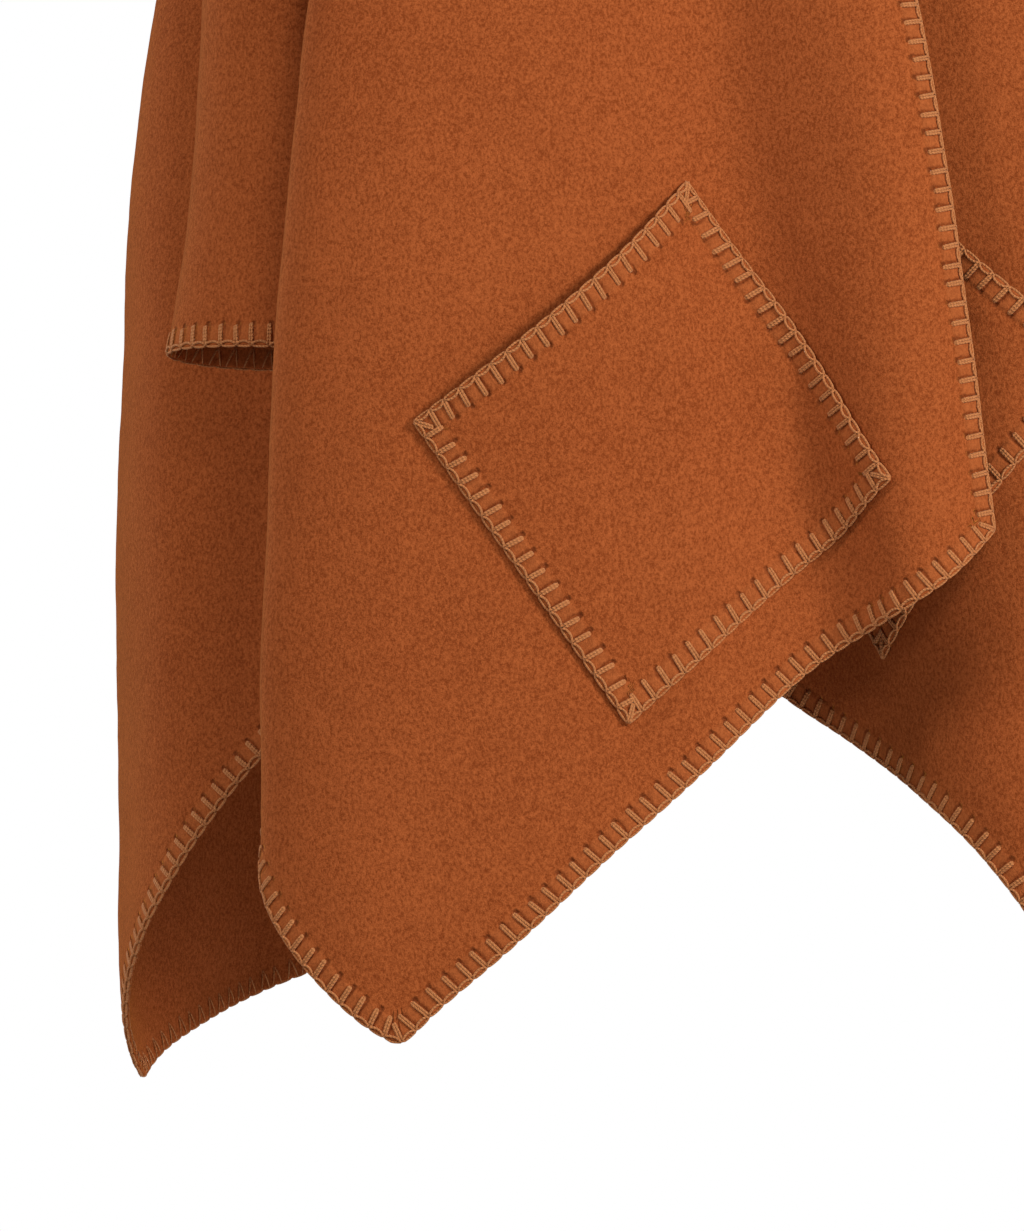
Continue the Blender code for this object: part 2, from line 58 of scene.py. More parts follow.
# Neck opening (its turn, reach and drop before and behind), shoulder line and armhole
NECK_HALF_WIDTH = 0.078
NECK_FRONT = (math.radians(104), -0.098, 0.088)
NECK_BACK = (math.pi / 2, 0.07, 0.014)
UNDERLAP_INSET = (0.0095, -0.004)
UNDERLAP_EASE = 0.013
SHOULDER_POINT = (-0.226, 0.004, -0.08)
SHOULDER_BOW = 1.35
UNDERARM = (-0.19, 0.0, -0.272)
ARMHOLE_FRONT_REACH = 0.056
ARMHOLE_BACK_REACH = 0.054
ARMHOLE_CUT_IN = 0.002

# How the cloth leaves neckline and shoulder seam: where they meet, and the change along them
NECK_LEAVES = ((-0.12, 0.8, -0.12), (0.1, -0.42, -0.62))
SHOULDER_LEAVES = ((-0.12, 0.8, -0.12), (0.2, 0.22, -0.1))
# The same for the armhole: at the shoulder point, halfway down and at the underarm
FRONT_LEAVES = np.array([(0.8, -1.0, -0.16), (0.04, -0.45, -0.95), (0.0, 0.0, -1.0)])
BACK_LEAVES = np.array([(0.64, 1.0, -0.16), (-0.42, 0.62, -0.9), (0.0, 0.0, -1.0)])

# Plan sections and hem height of the right half, a row for each fold from front edge to centre back
Fold = namedtuple("Fold", "name chest_x chest_y elbow_x elbow_y low_x low_y hem_z")
RIGHT_FOLDS = [Fold(*row) for row in (
    ("front edge", 0.062, -0.146, 0.0925, -0.19, 0.15, -0.214, -0.694),
    ("edge ridge", 0.045, -0.152, 0.076, -0.198, 0.118, -0.23, -0.716),
    ("centre trough", -0.008, -0.147, 0.002, -0.182, 0.06, -0.212, -0.759),
    ("pocket plain", -0.07, -0.15, -0.078, -0.19, -0.058, -0.23, -0.853),
    ("front tip", -0.13, -0.145, -0.158, -0.189, -0.181, -0.229, -0.962),
    ("front turn", -0.174, -0.138, -0.204, -0.177, -0.224, -0.215, -0.93),
    ("front fold", -0.208, -0.115, -0.235, -0.15, -0.256, -0.182, -0.872),
    ("front tuck", -0.194, -0.082, -0.206, -0.12, -0.222, -0.143, -0.812),
    ("side valley", -0.172, -0.012, -0.162, -0.052, -0.205, -0.093, -0.765),
    ("under arm", -0.196, 0.048, -0.217, 0.02, -0.25, -0.052, -0.798),
    ("side face", -0.24, 0.08, -0.287, 0.044, -0.308, -0.004, -0.879),
    ("back fold", -0.292, 0.102, -0.3237, 0.08, -0.3325, 0.048, -0.935),
    ("back corner", -0.296, 0.122, -0.3275, 0.125, -0.341, 0.108, -0.9975),
    ("back turn", -0.262, 0.142, -0.294, 0.172, -0.306, 0.172, -0.971),
    ("back ridge", -0.185, 0.141, -0.208, 0.197, -0.238, 0.238, -0.941),
    ("back trough", -0.095, 0.128, -0.105, 0.17, -0.12, 0.2, -0.878),
    ("centre back", 0.0, 0.132, 0.0, 0.188, 0.0, 0.234, -0.772),
)]
# The left front lies under the right one with its own first rows; the rest is mirrored
LEFT_UNDERLAP = [Fold(*row) for row in (
    ("front edge", -0.062, -0.13, -0.0925, -0.168, -0.15, -0.085, -0.68),
    ("edge ridge", -0.045, -0.134, -0.066, -0.17, -0.1, -0.075, -0.702),
    ("centre trough", 0.008, -0.134, 0.004, -0.164, 0.01, -0.045, -0.772),
    ("pocket plain", 0.07, -0.133, 0.078, -0.167, 0.106, -0.18, -0.842),
    ("front tip", 0.13, -0.14, 0.162, -0.18, 0.184, -0.225, -0.958),
)]
# How far the left half's folds are off the mirror image: x, y, and z at the hem
LEFT_SHIFT = {"front fold": (0.006, 0.004, 0.0), "side valley": (-0.004, 0.005, 0.0),
              "back fold": (0.004, -0.006, 0.0), "back turn": (0.003, 0.004, 0.0),
              "back ridge": (-0.01, -0.004, 0.01), "back trough": (0.008, 0.004, 0.046)}
HEM_POINTS = ("R front tip", "R back corner", "L back corner", "L front tip")
# How far the right front's hem hangs below the line through its folds
HEM_BELLY = 0.0045
# Where neckline and shoulder seam end between two folds, and the skirt's spread at its foot
NECK_SHARES = (0.9, 0.1)
SHOULDER_SHARE = 0.55
FOOT_SPREAD = 0.3
# The back's two points curl in towards the middle between these heights
CURL_Z = -0.93
CURLED_Z = -0.997
CURL_AT_TIP = 0.0125
CURL_WIDTH = 0.08

# Patch pocket: a rhombus on point, its centre and turn as seen from the front
POCKET_HALF_WIDTH = 0.1285
POCKET_HALF_HEIGHT = 0.1429
POCKET_TURN = math.radians(6.6)
POCKET_CENTRES = {"right": (-0.0475, -0.6527), "left": (0.063, -0.619)}
POCKET_GAPE = 0.003

# Sleeve: the flattened ring at its hem, and how that is turned in plan
CUFF_CENTRE = (-0.2585, -0.078, -0.6)
CUFF_HALF_WIDTH = 0.056
CUFF_HALF_DEPTH = 0.03
CUFF_TURN = math.radians(35)
CUFF_FRONT_RISE = 0.0055
# How a sleeve's top line leaves the armhole and reaches the hem, and what is added at its seam
SLEEVE_LEAVE = ((-0.92, -0.42), (0.17, -0.13))
SLEEVE_LEAVE_AHEAD = -0.22
SLEEVE_REACHES = (0.26, 0.12)
SLEEVE_ARRIVE = (-0.085, -0.04, -0.46)
SLEEVE_ARRIVE_UNDER = 0.1

# How the yoke evens out between its held edges
SETTLE_STEPS = 6
SETTLE_RATE = 0.8
FULL_SETTLE_FALL = 0.2
BELOW_CHEST = 0.045

# Fine grid of the felt, its closer steps at a cut edge, and that of pocket and sleeve
FELT_STEP = 0.0056
EDGE_STEPS = (0.0, 0.0005, 0.0013, 0.0027, 0.005, 0.008, 0.0108, 0.0128, 0.0152)
YOKE_SHARES = np.concatenate([[0.0, 0.003, 0.008, 0.016, 0.028, 0.042], np.linspace(0.06, 1.0, 46)])
EVEN_PASSES = 24
TIP_ROUNDING = 0.008
POCKET_SCAN = 120
POCKET_LINES = 30
POCKET_INNER = 0.95
POCKET_FULLNESS = 0.0016
SLEEVE_LENGTH = 0.53
SLEEVE_COLUMNS = 64
SLEEVE_RINGS = 84
PROBE = 0.001

# Uneven swells of the hanging felt: height and number to a metre
SWELLS = ((0.0022, 9.0), (0.0008, 26.0), (0.00022, 90.0))


def smooth_through(knots, values):
    """A natural cubic spline through values at knots, as a function."""
    knots = np.asarray(knots, float)
    values = np.asarray(values, float)
    count = len(knots)
    gaps = np.diff(knots)
    matrix = np.eye(count)
    right_side = np.zeros_like(values)
    for i in range(1, count - 1):
        matrix[i, i - 1] = gaps[i - 1]
        matrix[i, i] = 2 * (gaps[i - 1] + gaps[i])
        matrix[i, i + 1] = gaps[i]
        right_side[i] = 6 * ((values[i + 1] - values[i]) / gaps[i]
                             - (values[i] - values[i - 1]) / gaps[i - 1])
    bends = np.linalg.solve(matrix, right_side)

    def at(t):
        t = np.asarray(t, float)
        i = np.clip(np.searchsorted(knots, t) - 1, 0, count - 2)
        gap, a = gaps[i], (knots[i + 1] - t) / gaps[i]
        if values.ndim > 1:
            gap, a = gap[..., None], a[..., None]
        b = 1 - a
        curve = (a ** 3 - a) * bends[i] + (b ** 3 - b) * bends[i + 1]
        return a * values[i] + b * values[i + 1] + curve * gap * gap / 6

    return at


def hermite(start, start_slope, end, end_slope, share):
    """The cubic that leaves start and reaches end with the given slopes."""
    s2 = share * share
    s3 = s2 * share
    return ((2 * s3 - 3 * s2 + 1) * start + (s3 - 2 * s2 + share) * start_slope
            + (3 * s2 - 2 * s3) * end + (s3 - s2) * end_slope)


def unit(vectors):
    return vectors / np.maximum(np.linalg.norm(vectors, axis=-1, keepdims=True), 1e-12)


def lengths_along(points):
    """The length of a line of points up to each of them."""
    return np.concatenate([[0.0], np.cumsum(np.linalg.norm(np.diff(points, axis=0), axis=1))])


def read_at(s, lengths, rows):
    """Rows of three numbers that lie along a line, read at other lengths."""
    return np.stack([np.interp(s, lengths, rows[:, k]) for k in range(3)], axis=-1)


def nearest(columns, place):
    return int(np.argmin(abs(columns - place)))


def left_folds():
    """Rows of the left half, from beside the centre back to the front edge."""
    rows = []
    for fold in reversed(RIGHT_FOLDS[len(LEFT_UNDERLAP):-1]):
        shift_x, shift_y, shift_z = LEFT_SHIFT.get(fold.name, (0.0, 0.0, 0.0))
        rows.append(Fold(fold.name, -fold.chest_x + shift_x / 2, fold.chest_y + shift_y / 2,
                         -fold.elbow_x + shift_x, fold.elbow_y + shift_y,
                         -fold.low_x + shift_x, fold.low_y + shift_y, fold.hem_z + shift_z))
    return rows + LEFT_UNDERLAP[::-1]


class CloakForm:
    """Mid-surface of the cloak's body, from the right front edge round to the left one."""

    def __init__(self):
        left = left_folds()
        folds = RIGHT_FOLDS + left
        names = ["R " + fold.name for fold in RIGHT_FOLDS] + ["L " + fold.name for fold in left]
        plans = [np.array([fold[k:k + 2] for fold in folds]) for k in (1, 3, 5)]
        self.knots = lengths_along(plans[1])
        self.knot_of = dict(zip(names, self.knots))
        self.chest, self.elbow, self.low = (smooth_through(self.knots, plan) for plan in plans)
        self.hem_corners = [self.knots[0]] + [self.knot_of[name] for name in HEM_POINTS] + [self.knots[-1]]
        heights = np.array([fold.hem_z for fold in folds])
        self.hem_edges = []
        for start, end in zip(self.hem_corners[:-1], self.hem_corners[1:]):
            held = (self.knots >= start) & (self.knots <= end)
            self.hem_edges.append((end, smooth_through(self.knots[held], heights[held])))
        self.neck_end, self.shoulder_end = {}, {}
        for side in "RL":
            on = side + " "
            self.neck_end[side] = self.between(on + "centre trough", on + "pocket plain", NECK_SHARES[0])
            self.neck_end[side + "B"] = self.between(on + "back trough", "R centre back", NECK_SHARES[1])
            self.shoulder_end[side] = self.between(on + "front tip", on + "front fold", SHOULDER_SHARE)
            self.shoulder_end[side + "B"] = self.between(on + "back turn", on + "back ridge",
                                                         SHOULDER_SHARE)
        ends = sorted([*self.neck_end.values(), *self.shoulder_end.values()])
        apart = [k for k in self.knots if min(abs(k - e) for e in ends) > COLUMN_STEP / 3]
        self.breaks = sorted(apart + ends)
        self.settle_yoke()

    def between(self, first, second, share):
        return self.knot_of[first] * (1 - share) + self.knot_of[second] * share

    def skirt(self, t, z):
        """Points of the hanging part, below the chest section."""
        t, z = np.broadcast_arrays(np.asarray(t, float), np.asarray(z, float))
        chest, elbow, low = self.chest(t), self.elbow(t), self.low(t)
        upper, lower = ELBOW_Z - CHEST_Z, LOW_Z - ELBOW_Z
        slope = 0.5 * ((elbow - chest) / upper + (low - elbow) / lower)
        depth = z[..., None]
        above = hermite(chest, elbow - chest, elbow, slope * upper, (depth - CHEST_Z) / upper)
        below = hermite(elbow, slope * lower, low, FOOT_SPREAD * (low - elbow), (depth - ELBOW_Z) / lower)
        plan = np.where(depth > ELBOW_Z, above, below)
        plan[..., 0] += self.curl(t, z)
        return np.concatenate([plan, depth], axis=-1)

    def curl(self, t, z):
        """How far the back's points have curled in at height z."""
        right = t < self.knot_of["R centre back"]
        tip = np.where(right, self.knot_of["R back corner"], self.knot_of["L back corner"])
        off = (t - tip) / CURL_WIDTH
        depth = np.clip((CURL_Z - z) / (CURL_Z - CURLED_Z), 0, None)
        return np.where(right, 1, -1) * CURL_AT_TIP * depth ** 2 * np.exp(-off * off)

    def top_edge(self, t):
        """A column's top edge, its side, whether it is behind the arm, and how far along."""
        side = "R" if t <= self.knot_of["R centre back"] else "L"
        valley = self.knot_of[side + " side valley"]
        is_back = t > valley + 1e-9 if side == "R" else t < valley - 1e-9
        open_end = self.knot_of["R centre back"] if is_back else self.knot_of[side + " front edge"]
        half = side + ("B" if is_back else "")
        neck, shoulder = self.neck_end[half], self.shoulder_end[half]
        if (t - neck) * (open_end - neck) > 1e-9:
            return neckline, side, is_back, (t - neck) / (open_end - neck)
        if (t - shoulder) * (neck - shoulder) > 1e-9:
            return shoulder_seam, side, is_back, (t - neck) / (shoulder - neck)
        return armhole, side, is_back, (t - shoulder) / (valley - shoulder)

    def top(self, t):
        """The top edge at t and the way the cloth leaves it."""
        edge, side, is_back, share = self.top_edge(t)
        point, leave = edge(share, is_back)
        if side == "L":
            point, leave = point * (-1, 1, 1), leave * (-1, 1, 1)
            if edge is neckline and not is_back:
                point = point + min(1, 2 * share) * np.array((0.0, *UNDERLAP_INSET))
        return point, leave

    def free_yoke(self, t, share):
        """A point of the yoke, before neighbouring columns even out."""
        point, leave = self.top(t)
        plan = self.chest(t)
        end = np.array([plan[0], plan[1], CHEST_Z])
        fall = point[2] - CHEST_Z
        flare = (self.elbow(t) - plan) / (CHEST_Z - ELBOW_Z)
        reach = np.linalg.norm(end - point)
        end_slope = np.array([flare[0], flare[1], -1.0]) * fall
        made = hermite(point, leave * reach, end, end_slope, share)
        inside = share_between(t, self.neck_end["L"], self.knot_of["L front tip"])
        made[1] += UNDERLAP_EASE * math.sin(math.pi * share) * inside
        return made

    def settle_yoke(self):
        """Even out the yoke, as cloth does, and keep each row as a spline."""
        columns = columns_between(self, self.knots[0], self.knots[-1], COLUMN_STEP)
        shares = [r / YOKE_ROWS for r in range(YOKE_ROWS + 1)]
        net = np.array([[self.free_yoke(t, share) for t in columns] for share in shares])
        falls = np.array([self.top(t)[0][2] - CHEST_Z for t in columns])[None, 1:-1, None]
        rates = SETTLE_RATE * np.clip(falls / FULL_SETTLE_FALL, 0, 1) ** 2
        rates = rates * (1 - np.array(shares)[1:-1, None, None] ** 2)
        for _ in range(SETTLE_STEPS):
            shade_beside_stitch = (net[1:-1, 2:] + net[1:-1, :-2]) / 2
            net[1:-1, 1:-1] += rates * (shade_beside_stitch - net[1:-1, 1:-1])
        below = np.array([self.skirt(t, CHEST_Z - BELOW_CHEST) for t in columns])
        self.yoke_shares = shares
        self.yoke_rows = [smooth_through(columns, row) for row in list(net[1:]) + [below]]

    def yoke(self, t, shares):
        """Points of one column above the chest section."""
        start = self.top(t)[0]
        points = [start] + [row(t) for row in self.yoke_rows]
        below = 1 + BELOW_CHEST / (start[2] - CHEST_Z)
        return smooth_through(self.yoke_shares + [below], points)(shares)

    def sharp_hem(self, t):
        for end, edge in self.hem_edges:
            if t <= end:
                break
        return float(edge(t)) - self.belly(t)

    def belly(self, t):
        """The extra length of the right front's hem between its pocket and its point."""
        share = share_between(t, self.knot_of["R front tip"], self.knot_of["R pocket plain"])
        return HEM_BELLY * math.sin(math.pi * share) ** 2

    def hem(self, t):
        """Height of the hem at t, its points a little rounded."""
        near = min(abs(t - corner) for corner in self.hem_corners[1:-1])
        if near > 2 * TIP_ROUNDING:
            return self.sharp_hem(t)
        steps = np.linspace(-TIP_ROUNDING, TIP_ROUNDING, 9)
        weights = 1 + np.cos(steps / TIP_ROUNDING * math.pi)
        around = np.array([self.sharp_hem(t + step) for step in steps])
        return float((around * weights).sum() / weights.sum())


def neckline(share, is_back):
    """Share 0 is at the shoulder seam, 1 at the front edge or the centre back."""
    wrap, reach, drop = NECK_BACK if is_back else NECK_FRONT
    aside, ahead = math.cos(share * wrap), math.sin(share * wrap)
    point = np.array([-NECK_HALF_WIDTH * aside, reach * ahead, -drop * (1 - aside)])
    forward = 1.0 if is_back else -1.0
    first, change = NECK_LEAVES
    leave = np.array([first[0] * aside + change[0] * ahead, forward * (first[1] + change[1] * ahead),
                      first[2] + change[2] * ahead])
    return point, leave


def shoulder_seam(share, is_back):
    """Share 0 is at the neck and 1 at the shoulder point."""
    end_x, end_y, end_z = SHOULDER_POINT
    point = np.array([-NECK_HALF_WIDTH + (end_x + NECK_HALF_WIDTH) * share, end_y * share,
                      end_z * share ** SHOULDER_BOW])
    forward = 1.0 if is_back else -1.0
    first, change = SHOULDER_LEAVES
    leave = np.array([first[0] * (1 - share) ** 2 + change[0] * share ** 2,
                      forward * (first[1] + change[1] * share), first[2] + change[2] * share])
    return point, leave


def armhole(share, is_back):
    """Share 0 is the shoulder point and 1 the underarm point."""
    turn = share * math.pi
    top, bottom = np.array(SHOULDER_POINT), np.array(UNDERARM)
    blend = (1 - math.cos(turn)) / 2
    reach = ARMHOLE_BACK_REACH if is_back else -ARMHOLE_FRONT_REACH
    point = top + (bottom - top) * blend
    point = point + np.array([ARMHOLE_CUT_IN, reach, 0.0]) * math.sin(turn)
    at_top, at_side, at_foot = BACK_LEAVES if is_back else FRONT_LEAVES
    leave = (1 - blend) ** 2 * at_top + 2 * blend * (1 - blend) * at_side + blend ** 2 * at_foot
    return point, leave


def sleeve_point(turn, share):
    """A point of the right sleeve: turn 0 is its top line, pi / 2 its front and pi its seam."""
    is_back = turn > math.pi
    top, _ = armhole(2 - turn / math.pi if is_back else turn / math.pi, is_back)
    lift, ahead = math.cos(turn), math.sin(turn)
    under = (1 - lift) / 2
    along = np.array([math.cos(CUFF_TURN), -math.sin(CUFF_TURN), 0.0])
    facing = np.array([-math.sin(CUFF_TURN), -math.cos(CUFF_TURN), 0.0])
    cuff = np.array(CUFF_CENTRE) - along * CUFF_HALF_WIDTH * lift + facing * CUFF_HALF_DEPTH * ahead
    cuff[2] += CUFF_FRONT_RISE * ahead
    first, change = SLEEVE_LEAVE
    down = first[1] + change[1] * under
    leave = np.array([first[0] + change[0] * under, SLEEVE_LEAVE_AHEAD * ahead, down])
    reach = SLEEVE_REACHES[0] * (1 - under) + SLEEVE_REACHES[1] * under
    arrive = np.array(SLEEVE_ARRIVE)
    arrive[2] += SLEEVE_ARRIVE_UNDER * under
    return hermite(top, leave * reach, cuff, arrive, share)


def columns_between(form, start, end, step):
    """Columns from start to end, with one on every fold, hem tip and seam end."""
    stops = [start] + [k for k in form.breaks if start + 1e-6 < k < end - 1e-6] + [end]
    columns = []
    for a, b in zip(stops[:-1], stops[1:]):
        count = max(2, round((b - a) / step))
        columns += [a + (b - a) * i / count for i in range(count)]
    return columns + [end]


# Blanket stitch: spacing, depth, lean along the edge, and how uneven these are
STITCH_PITCH = 0.01
STITCH_DEPTH = 0.0118
STITCH_LEAN = 0.0014
STITCH_UNEVEN = 0.0006
DEPTH_UNEVEN = 0.0007
LEAN_UNEVEN = 0.0004
# The yarn's section, and a stitch's way from the edge to its hole: how far in, high and apart
YARN_HALF_WIDTH = 0.0008
YARN_HALF_HEIGHT = 0.00062
STRAND_SPREAD = 0.0007
STRAND_END = 0.55
STITCH_STATIONS = (-0.00035, 0.0009, 0.0035, 0.007)
STITCH_BEFORE_HOLE = 0.0012
STITCH_HEIGHTS = np.array([-0.0006, 0.0003, 0.00046, 0.00046, 0.00034, -0.0007])
STITCH_SPREADS = np.array([1.25, 1.05, 0.95, 0.95, 0.85, 0.3])
# The strands round the rim and on the face, and the thin threads of the wrong side
PURL_RINGS = 8
PURL_RADIUS = 0.00068
PURL_OUT = 0.0005
PURL_IN = 0.00185
PURL_SWING = (0.85, 1.15)
PURL_RIM_LIFT = 0.3
PURL_HEIGHTS = (0.0005, 0.00025)
REVERSE_RADIUS = 0.0005
REVERSE_SPREAD = 0.0032
REVERSE_STATIONS = (0.008, 0.004, 0.0003)
REVERSE_HEIGHTS = np.array([-0.0004, 0.0004, 0.0004, 0.0002])
# The felt's share of thickness by distance from its edge: pressed under the stitches
PRESS_PLACES = (0.0, 0.003, 0.009, 0.0116, 0.0128, 0.016, 0.022)
PRESS_SHARES = (0.86, 0.92, 0.9, 0.8, 0.84, 1.08, 1.0)
RIM_SHARE = 0.35
# Colour bands are for the right side: the wrong side counts as this much further in
WRONG_SIDE = 0.02
# How much further than its solid a pocket's opening edge lifts, and how far it sags
OPENING_SLACK = 0.0078
OPENING_BOW = 0.062
EDGE_SAMPLE = 0.001
CORNER_EASE = 0.0055

# Soft folds pulled by the lap: height, half widths on either side, and x at each height
FOLD_HEIGHTS = (-0.4, -0.484, -0.542, -0.605, -0.668, -0.72)
SOFT_FOLDS = (
    (-0.011, 0.046, 0.027, (-0.024, -0.018, -0.006, 0.015, 0.033, 0.05)),
    (0.005, 0.05, 0.026, (0.066, 0.073, 0.08, 0.086, 0.09, 0.095)),
    (-0.0013, 0.017, 0.017, (-0.078, -0.074, -0.07, -0.066, -0.062, -0.06)),
    (0.0013, 0.017, 0.017, (-0.048, -0.044, -0.04, -0.036, -0.032, -0.03)),
)
# Heights between which the folds set in, and their print in the left front ends
FOLDS_FADE = (-0.3, -0.42)
PRINT_FADE = (-0.735, -0.785)

# Colours of the felt's grain, of the lighter band between the stitches, of the painted shade in needle
# holes and beside the stitches, and of the yarn
FELT_COLOURS = (0.215, 0.042, 0.008, 1.0), (0.425, 0.105, 0.026, 1.0)
EDGE_BAND_COLOUR = (0.425, 0.118, 0.033, 1.0)
STITCH_SHADE_COLOUR = (0.085, 0.014, 0.004, 1.0)
YARN_COLOURS = (0.365, 0.112, 0.031, 1.0), (0.59, 0.232, 0.078, 1.0)
FLOOR_COLOUR = (0.6, 0.6, 0.6, 1.0)
WHITE = (1.0, 1.0, 1.0, 1.0)
YARN_TWIST = 0.0019

# The camera stands level, straight before the front
CAMERA_PLACE = (-0.1238, -4.72, -0.7385)
FRAME_HEIGHT = 0.64
FRAME_DISTANCE = 4.5
SENSOR = 36.0
FLOOR_Z = -1.45
FLOOR_RADIUS = 5.0
# Soft square lights: place, size and power, all turned to the cloak
LIT_POINT = (-0.05, 0.0, -0.6)
LIGHTS = {
    "key": ((2.7, -2.5, 0.7), 0.8, 120.0),
    "front": ((0.8, -4.0, 1.3), 1.0, 40.0),
    "left": ((-2.3, -1.1, 1.2), 1.1, 46.0),
    "left rim": ((-2.8, 2.4, 0.3), 1.4, 44.0),
    "right rim": ((2.8, 2.4, 0.6), 1.4, 60.0),
}
AMBIENT = 0.05


def swell(points):
    """Swells of the hanging felt, along its normal."""
    flat = points.reshape(-1, 3)
    depth = np.zeros(len(flat))
    for height, rate in SWELLS:
        depth += [height * noise.noise(Vector(p * rate)) for p in flat]
    return depth.reshape(points.shape[:-1])


def share_between(z, full, none):
    """1 at the height full and beyond it, 0 at none, and even between."""
    return np.clip((z - none) / (full - none), 0, 1)


def soft_folds(points, side):
    """Height of a front's soft folds over its plain shape: the left one is only pressed in."""
    x, z = points[..., 0], points[..., 2]
    depth = np.zeros(x.shape)
    heights = FOLD_HEIGHTS[::-1]
    for height, before, after, way in SOFT_FOLDS:
        off = x - np.interp(z, heights, way[::-1])
        depth += height * np.exp(-(off / np.where(off < 0, before, after)) ** 2)
    if side == "left":
        depth = np.minimum(depth, 0.0) * share_between(z, *PRINT_FADE)
    fade = share_between(z, FOLDS_FADE[1], FOLDS_FADE[0])
    return depth * fade * fade * (3 - 2 * fade)


def evened(mid):
    """The grid with the yoke's columns evened out and its borders held."""
    rows = len(YOKE_SHARES)
    loose = np.clip((YOKE_SHARES - 0.01) / 0.1, 0, 1) * np.clip((1.0 - YOKE_SHARES) / 0.12, 0, 1)
    made = mid.copy()
    for _ in range(EVEN_PASSES):
        middle = made[:rows]
        wanted = middle.copy()
        wanted[:, 1:-1] = (middle[:, :-2] + 2 * middle[:, 1:-1] + middle[:, 2:]) / 4
        made[:rows] = middle + (wanted - middle) * loose[:, None, None]
    return made


def grid_normals(mid, wrap=False):
    """Outward normals of a grid whose columns run round from the right front edge."""
    down = np.gradient(mid, axis=0)
    across = np.gradient(mid, axis=1)
    if wrap:
        across = (np.roll(mid, -1, axis=1) - np.roll(mid, 1, axis=1)) / 2
    return unit(np.cross(across, down))


def body_columns(form, start, end):
    """Fine columns of a panel, closer at its two upright edges."""
    columns = columns_between(form, start, end, FELT_STEP)
    near = [start + step for step in EDGE_STEPS] + [end - step for step in EDGE_STEPS]
    clear = EDGE_STEPS[-1] + FELT_STEP / 2
    inner = [t for t in columns if start + clear < t < end - clear]
    return np.array(sorted(near + inner))


def panel_grid(form, columns):
    """A panel's mid-surface: the yoke's rows, then the skirt's."""
    fall = CHEST_Z - LOW_Z
    even = np.linspace(0, 1, round(fall / FELT_STEP))[1:]
    grid = []
    for t in columns:
        hem = form.hem(t)
        heights = CHEST_Z + (hem + EDGE_STEPS[-1] + FELT_STEP - CHEST_Z) * even
        heights = np.concatenate([heights, [hem + step for step in reversed(EDGE_STEPS)]])
        grid.append(np.concatenate([form.yoke(t, YOKE_SHARES), form.skirt(t, heights)]))
    return np.swapaxes(np.array(grid), 0, 1)


def sleeve_grid(side):
    """Mid-surface of a sleeve, its rings from the armhole to the hem."""
    turns = np.linspace(0, 2 * math.pi, SLEEVE_COLUMNS, endpoint=False)
    steps = np.array(EDGE_STEPS) / SLEEVE_LENGTH
    inner = np.linspace(0.02, 1 - steps[-1] - 0.008, SLEEVE_RINGS)
    shares = np.concatenate([steps[:5], inner, 1 - steps[::-1]])
    mid = np.array([[sleeve_point(turn, share) for turn in turns] for share in shares])
    return mid * (-1, 1, 1) if side == "left" else mid[:, ::-1]


def pocket_grid(form, side):
    """The panel's points and normals under a pocket, and each one's place across it."""
    mirror = 1 if side == "right" else -1
    centre_x, centre_z = POCKET_CENTRES[side]
    ends = [form.knot_of[side[0].upper() + name] for name in (" front edge", " front turn")]
    scan = np.linspace(min(ends), max(ends), POCKET_SCAN)
    length = math.hypot(POCKET_HALF_WIDTH, POCKET_HALF_HEIGHT)
    rim = np.array(EDGE_STEPS) / length * 2
    inner = np.linspace(rim[-1] - POCKET_INNER, POCKET_INNER - rim[-1], POCKET_LINES)
    lines = np.concatenate([rim - 1, inner, 1 - rim[::-1]])
    b, a = np.meshgrid(lines, lines, indexing="ij")
    bowed = a + OPENING_BOW * (1 - b * b) * ((1 - a) / 2) ** 2
    across = (bowed - b) / 2 * POCKET_HALF_WIDTH * mirror
    up = -(bowed + b) / 2 * POCKET_HALF_HEIGHT
    turn = -POCKET_TURN * mirror
    along = across * math.cos(turn) - up * math.sin(turn)
    height = centre_z + across * math.sin(turn) + up * math.cos(turn)
    columns = np.array([[column_at(form, scan, centre_x, x, z) for x, z in zip(xs, zs)]
                        for xs, zs in zip(along, height)])
    ground = form.skirt(columns, height)
    side_step = form.skirt(columns + PROBE, height) - ground
    down_step = form.skirt(columns, height - PROBE) - ground
    return ground, unit(np.cross(side_step, down_step)), a, b


def column_at(form, scan, centre_x, along, z):
    """The column that lies a distance along from centre_x, at height z."""
    points = form.skirt(scan, z)[:, :2]
    lengths = lengths_along(points)
    rising = np.sign(points[-1, 0] - points[0, 0])
    centre = np.interp(centre_x * rising, points[:, 0] * rising, lengths)
    return float(np.interp(centre + along * rising, lengths, scan))


